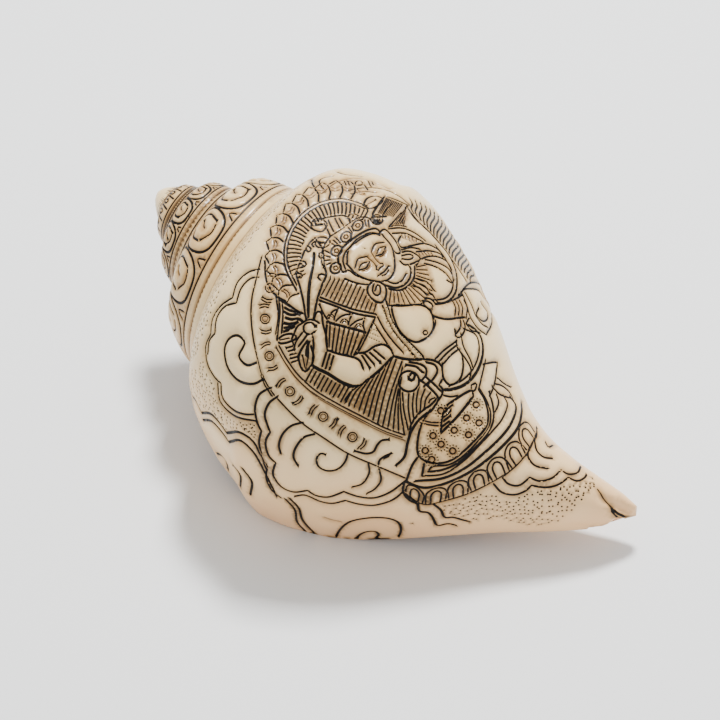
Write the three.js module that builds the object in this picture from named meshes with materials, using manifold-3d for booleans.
// A carved chank shell, a right-handed Turbinella pyrum, lying with its mouth down. One solid.
// Millimetres. +Z is up, +X runs from the top of the spire towards the canal, and z = 0 is the table.
import * as THREE from 'three';
import { ParametricGeometry } from 'three/addons/geometries/ParametricGeometry.js';
import { mergeGeometries, mergeVertices } from 'three/addons/utils/BufferGeometryUtils.js';
import Module from 'manifold-3d';

// The coil. A turn is counted from the lip: 0 at the lip, -1 one whorl before it.
const GROWTH = 1.72; // size of a whorl over the one before it
const WHORLS = 3.6; // whorls that are left, from the worn top to the lip
const LIP_AZIMUTH = 215.5; // degrees round the axis from the far side, over the top, to the lip
const BODY_SWELL = 0.02; // the last whorl bulges by this share at its back
const LIP_PINCH = 0.11; // and draws in by this share at the lip
const LIP_PINCH_TURNS = 0.13;
const TOP_POINT = 4; // the worn top's place on the axis

// The lip's outline: distance from the cone's point along the axis, and distance from the axis.
const LIP_OUTLINE = [
  [66, 52], [78, 58.5], [90, 61.5], [98, 63.5], [112, 57.5], [124, 48.5],
  [135, 38], [146, 26.5], [158, 17], [170, 11], [178, 7], [183, 3.5],
];
const SEAT = 4; // the knot, counted from the suture, that carries the next whorl's suture
const LAST = LIP_OUTLINE.length;
const TIP_POINT = 184.5;

// Below the seat the section stops growing with the whorls, so that they share one canal.
const CANAL_START = 98;
const CANAL_END = 184;
const CANAL_SOFTNESS = 0.06;
const CANAL_POWER = 1.6;
const CANAL_ROUND = 0.6; // how much of that also holds for the distance from the axis
const CANAL_BEND = [19, -2.5]; // the canal's end swings to the far side and a little down
const BEND_START = 142;
const FLANGE = 1.5; // the lip's edge stands out along the canal
const FLANGE_START = 125;
const FLANGE_TURNS = 0.12;

// The mouth and the hollow behind it.
const WALL = 3.4;
const LINING = 2;
const HOLLOW_TURNS = 1.6;
const PAST_LIP = 0.03;
const HOLLOW_FROM = 0.055; // along the lip, 0 at the suture and 1 at the canal's end
const HOLLOW_TO = 0.9;
const HOLLOW_RISE = 0.26; // its lower end rises by this share over the first turn behind the lip
const THIN_SHARE = 0.3; // a wall takes at most this share of a narrow gap
// Round grooves: azimuth in degrees, radius, and a route of places on the axis with their distances from
// the canal's middle. The gutter runs from the mouth to the end, and the notch opens the end above.
const GUTTER = {
  azimuth: 255,
  radius: 3.2,
  route: [[144, 14.5], [156, 11], [165, 8.5], [174, 6], [181, 3.5], [188, 1.5]],
};
const NOTCH = {
  azimuth: 110,
  radius: 1.8,
  route: [[170, 12.5], [176, 8], [181, 4.5], [188, 1]],
};
const GROOVE_STEPS = 12;
const GROOVE_SIDES = 5; // straight steps to each arc of its round section

// How it lies.
const REST_TILT = 13; // degrees, the canal's end down
const REST_DEPTH = 0.9; // depth of the worn flats that it rests on
const TABLE = [260, 200, 20]; // a slab larger than the shell, to cut the flats with

// Facets.
const STEPS_PER_TURN = 40;
const STEPS_PER_KNOT = 2;
const CAP_RINGS = 2;
const HOLLOW_STEPS = 16;

const wasm = await Module();
wasm.setup();

// The swelling of the last whorl, as a factor on the distance from the axis.
function swelling(turn) {
  const back = turn > -1 ? Math.sin(Math.PI * turn) ** 2 : 0;
  return 1 + BODY_SWELL * back - LIP_PINCH * Math.exp(-((turn / LIP_PINCH_TURNS) ** 2));
}

// How far the canal holds a point of the outline, from 0 on the body to 1 at the canal's end.
function canalHold(axial) {
  const t = THREE.MathUtils.clamp((axial - CANAL_START) / (CANAL_END - CANAL_START), 0, 1);
  const soft = (1 + CANAL_SOFTNESS) * t * t / (t + CANAL_SOFTNESS);
  return 1 - (1 - Math.min(soft, 1)) ** CANAL_POWER;
}

// The outline at a turn. Its first knot lies on the whorl before it, which makes the suture.
function outline(turn) {
  const [seatAxial, seatRadius] = LIP_OUTLINE[SEAT - 1];
  const before = GROWTH ** (turn - 1);
  const knots = [new THREE.Vector2(before * seatAxial, before * seatRadius * swelling(turn - 1))];
  for (const [axial, radius] of LIP_OUTLINE) {
    const hold = canalHold(axial);
    const swell = 1 + (swelling(turn) - 1) * (1 - hold);
    const along = THREE.MathUtils.clamp((axial - FLANGE_START) / (CANAL_END - FLANGE_START), 0, 1);
    const flange = FLANGE * Math.exp(-((turn / FLANGE_TURNS) ** 2)) * Math.sin(Math.PI * along) ** 2;
    knots.push(new THREE.Vector2(
      GROWTH ** (turn * (1 - hold)) * axial,
      GROWTH ** (turn * (1 - CANAL_ROUND * hold)) * radius * swell + flange,
    ));
  }
  return new THREE.SplineCurve(knots);
}

// A point of a flat section, put round the axis at its turn, with the canal's bend.
function coiled(turn, axial, radius, target) {
  const azimuth = THREE.MathUtils.degToRad(LIP_AZIMUTH) + 2 * Math.PI * turn;
  const along = Math.max((axial - BEND_START) / (CANAL_END - BEND_START), 0);
  const bend = along ** CANAL_POWER;
  return target.set(
    axial,
    radius * Math.cos(azimuth) + CANAL_BEND[0] * bend,
    radius * Math.sin(azimuth) + CANAL_BEND[1] * bend,
  );
}

// A point of the outside, with knot counted from 0 at the suture to LAST at the canal's end.
function outside(turn, knot, target) {
  const { x, y } = outline(turn).getPoint(knot / LAST);
  return coiled(turn, x, y, target);
}

// Part of the outside as a grid.
function skin(fromTurn, toTurn, fromKnot, toKnot) {
  const turns = Math.round((toTurn - fromTurn) * STEPS_PER_TURN);
  const knots = (toKnot - fromKnot) * STEPS_PER_KNOT;
  const point = (u, v, target) => outside(
    THREE.MathUtils.lerp(fromTurn, toTurn, u), THREE.MathUtils.lerp(fromKnot, toKnot, v), target);
  return new ParametricGeometry(point, turns, knots);
}

// The worn top: from the first suture line and the edge of the first section up to a blunt point.
function topCap() {
  const round = STEPS_PER_TURN;
  const across = SEAT * STEPS_PER_KNOT;
  const top = new THREE.Vector3(TOP_POINT, 0, 0);
  const point = (u, v, target) => {
    const step = Math.round(u * (round + across));
    if (step <= round) outside(-WHORLS + step / STEPS_PER_TURN, 0, target);
    else outside(-WHORLS, (round + across - step) / STEPS_PER_KNOT, target);
    const rise = Math.sin(v * Math.PI / 2);
    const { x } = target;
    target.lerp(top, v);
    target.x = THREE.MathUtils.lerp(x, TOP_POINT, rise);
    return target;
  };
  return flipped(new ParametricGeometry(point, round + across, CAP_RINGS));
}

// The canal's blunt end.
function tipCap() {
  const tip = coiled(0, TIP_POINT, 0, new THREE.Vector3());
  const point = (u, v, target) => {
    const step = Math.round(u * (STEPS_PER_TURN + 1));
    const turn = step > STEPS_PER_TURN ? -1 : -1 + step / STEPS_PER_TURN;
    return outside(turn, LAST, target).lerp(tip, v);
  };
  return new ParametricGeometry(point, STEPS_PER_TURN + 1, 1);
}

// A flat face inside a closed outline of section points, at one turn.
function face(turn, points) {
  const flat = new THREE.ShapeGeometry(new THREE.Shape(points));
  const place = flat.attributes.position;
  const at = new THREE.Vector3();
  for (let i = 0; i < place.count; i += 1) {
    coiled(turn, place.getX(i), place.getY(i), at);
    place.setXYZ(i, at.x, at.y, at.z);
  }
  return flat;
}

// The face between the lip and the whorl that it closes on.
function lipFace() {
  const lip = outline(0);
  const inner = outline(-1);
  const points = [];
  for (let i = 0; i <= LAST * STEPS_PER_KNOT; i += 1) {
    points.push(lip.getPoint(i / (LAST * STEPS_PER_KNOT)));
  }
  for (let i = LAST * STEPS_PER_KNOT; i > SEAT * STEPS_PER_KNOT; i -= 1) {
    points.push(inner.getPoint(i / (LAST * STEPS_PER_KNOT)));
  }
  return face(0, points);
}

// The hollow's section at a turn: inside the wall on one side, outside the lining on the other.
function hollowSection(turn) {
  const outer = outline(turn);
  const inner = outline(turn - 1);
  const wallSide = [];
  const liningSide = [];
  const lowerEnd = HOLLOW_TO - HOLLOW_RISE * THREE.MathUtils.clamp(-turn, 0, 1);
  for (let i = 0; i <= HOLLOW_STEPS; i += 1) {
    const along = THREE.MathUtils.lerp(HOLLOW_FROM, lowerEnd, i / HOLLOW_STEPS);
    const wall = outer.getPoint(along);
    const lining = inner.getPoint(THREE.MathUtils.lerp(SEAT / LAST, 1, along));
    const gap = wall.distanceTo(lining);
    const size = Math.sqrt(GROWTH ** turn);
    wallSide.push(wall.clone().lerp(lining, Math.min(WALL * size / gap, THIN_SHARE)));
    liningSide.push(lining.clone().lerp(wall, Math.min(LINING * size / gap, THIN_SHARE)));
  }
  return wallSide.concat(liningSide.reverse());
}

// The hollow as a closed body, from deep in the shell to just past the lip.
function hollow() {
  const steps = Math.round((HOLLOW_TURNS + PAST_LIP) * STEPS_PER_TURN);
  const sections = [];
  for (let i = 0; i <= steps; i += 1) {
    const turn = THREE.MathUtils.lerp(-HOLLOW_TURNS, PAST_LIP, i / steps);
    sections.push([turn, hollowSection(turn)]);
  }
  const count = sections[0][1].length;
  const point = (u, v, target) => {
    const [turn, section] = sections[Math.round(v * steps)];
    const at = section[Math.round(u * count) % count];
    return coiled(turn, at.x, at.y, target);
  };
  const side = flipped(new ParametricGeometry(point, count, steps));
  const start = flipped(face(...sections[0]));
  const end = face(...sections[steps]);
  return [side, start, end];
}

// A round groove along the canal, as the bar that is cut out.
function groove({ azimuth, radius, route }) {
  const angle = THREE.MathUtils.degToRad(azimuth);
  const path = new THREE.CatmullRomCurve3(route.map(([axial, distance]) => {
    const at = coiled(0, axial, 0, new THREE.Vector3());
    at.y += distance * Math.cos(angle);
    at.z += distance * Math.sin(angle);
    return at;
  }));
  const round = new THREE.Shape().absarc(0, 0, radius, 0, 2 * Math.PI);
  return new THREE.ExtrudeGeometry(round, {
    steps: GROOVE_STEPS,
    curveSegments: GROOVE_SIDES,
    extrudePath: path,
    bevelEnabled: false,
  });
}

// The same faces, looking the other way.
function flipped(geometry) {
  const { index } = geometry;
  for (let i = 0; i < index.count; i += 3) {
    const first = index.getX(i);
    index.setX(i, index.getX(i + 1));
    index.setX(i + 1, first);
  }
  return geometry;
}

// One closed body from faces whose edges meet.
function solid(pieces) {
  const bare = pieces.map((piece) => {
    const plain = piece.index ? piece.toNonIndexed() : piece;
    plain.deleteAttribute('normal');
    plain.deleteAttribute('uv');
    return plain;
  });
  const merged = mergeVertices(mergeGeometries(bare), 1e-3);
  const triangles = [];
  for (let i = 0; i < merged.index.count; i += 3) {
    const [a, b, c] = [merged.index.getX(i), merged.index.getX(i + 1), merged.index.getX(i + 2)];
    if (a !== b && b !== c && a !== c) triangles.push(a, b, c);
  }
  return new wasm.Manifold(new wasm.Mesh({
    numProp: 3,
    vertProperties: Float32Array.from(merged.attributes.position.array),
    triVerts: Uint32Array.from(triangles),
  }));
}

// A solid's faces as a three.js geometry.
function faces(manifold) {
  const { vertProperties, triVerts } = manifold.getMesh();
  const geometry = new THREE.BufferGeometry();
  geometry.setAttribute('position', new THREE.BufferAttribute(vertProperties, 3));
  geometry.setIndex(new THREE.BufferAttribute(triVerts, 1));
  return geometry;
}

// The shell in its coil's frame, with the axis along X.
function coiledShell() {
  const body = solid([
    skin(-WHORLS, -1, 0, SEAT),
    skin(-1, 0, 0, SEAT),
    skin(-1, 0, SEAT, LAST),
    topCap(),
    tipCap(),
    lipFace(),
  ]);
  const cuts = [hollow(), [groove(GUTTER)], [groove(NOTCH)]];
  return faces(cuts.reduce((left, pieces) => left.subtract(solid(pieces)), body));
}

// The shell as it lies, worn flat where it touches the table.
function restingShell() {
  const tilted = coiledShell().rotateY(THREE.MathUtils.degToRad(REST_TILT));
  tilted.computeBoundingBox();
  const middle = tilted.boundingBox.getCenter(new THREE.Vector3());
  const lowest = tilted.boundingBox.min.z + REST_DEPTH;
  tilted.translate(-middle.x, -middle.y, -lowest);
  const table = new THREE.BoxGeometry(...TABLE).translate(0, 0, -TABLE[2] / 2);
  const shell = faces(solid([tilted]).subtract(solid([table])));
  shell.computeVertexNormals();
  return shell;
}

const shellMaterial = new THREE.MeshStandardMaterial({ color: '#e3d6bf', roughness: 0.4, metalness: 0 });
const shell = new THREE.Mesh(restingShell(), shellMaterial);
shell.name = 'shell';

const object = new THREE.Group();
object.add(shell);

export default object;
